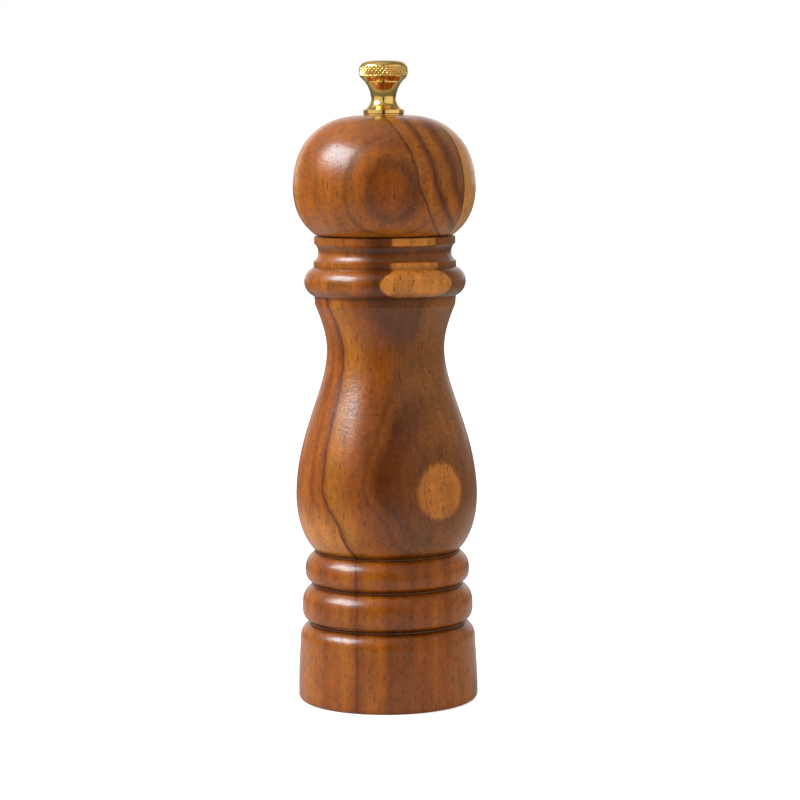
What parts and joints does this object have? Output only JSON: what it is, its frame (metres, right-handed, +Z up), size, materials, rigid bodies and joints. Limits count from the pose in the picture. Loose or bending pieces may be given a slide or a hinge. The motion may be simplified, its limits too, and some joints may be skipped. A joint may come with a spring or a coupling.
{
  "type": "pepper mill",
  "caption": "Turned wooden pepper mill with an onion-shaped turning head, a brass grind-adjusting knob and a steel burr grinder in its foot.",
  "frame": {"origin": "centre of the foot, on the surface that the mill stands on", "axes": "+Z up along the turning axis of the head, shaft and knob; -Y is the front shown by the wood's figure; +X is to its right"},
  "size_m": [0.0512, 0.0512, 0.18],
  "materials": {
    "lacquered_wood": "acacia with dark streaks under satin lacquer",
    "polished_brass": "polished, with a knurled band on the knob",
    "shaft_steel": "drawn bright bar",
    "plated_steel": "zinc plated",
    "grinder_steel": "hardened dark steel",
    "spring_steel": "drawn wire",
    "nylon": "natural white, matte"
  },
  "bodies": {
    "mill_body": {"wooden_body": "lacquered_wood", "mounting_plate": "plated_steel", "grinder_housing": "plated_steel", "outer_grinder": "grinder_steel", "mechanism_screw_1": "plated_steel", "mechanism_screw_2": "plated_steel", "mechanism_screw_3": "plated_steel"},
    "bush": {"guide_bush": "nylon", "grinder_spring": "spring_steel"},
    "grinder_shaft": {"drive_shaft": "shaft_steel", "inner_grinder": "grinder_steel", "spring_washer": "plated_steel", "rotor_washer": "plated_steel", "rotor_screw": "plated_steel"},
    "head": {"wooden_head": "lacquered_wood", "drive_plate": "plated_steel", "drive_plate_screw_1": "plated_steel", "drive_plate_screw_2": "plated_steel"},
    "washer": {"knob_washer": "polished_brass"},
    "knob": {"adjusting_knob": "polished_brass"}
  },
  "joints": [
    {"name": "grind_turn", "type": "hinge", "parent": "mill_body", "child": "bush", "pos_m": [0, 0, 0.022], "axis": [0, 0, 1], "continuous": true},
    {"name": "grind_adjust", "type": "slide", "parent": "bush", "child": "grinder_shaft", "axis": [0, 0, 1], "range_m": [0, 0.0016], "deforming": ["grinder_spring"]},
    {"name": "head_lift", "type": "slide", "parent": "bush", "child": "head", "axis": [0, 0, 1], "range_m": [0, 0.06]},
    {"name": "knob_lift", "type": "slide", "parent": "head", "child": "washer", "axis": [0, 0, 1], "range_m": [0, 0.02]},
    {"name": "knob_turn", "type": "hinge", "parent": "washer", "child": "knob", "pos_m": [0, 0, 0.165], "axis": [0, 0, -1], "range_deg": [0, 720]}
  ],
  "couplings": [
    {"joint": "knob_turn", "follows": "grind_adjust", "rad_per_m": 7854}
  ]
}
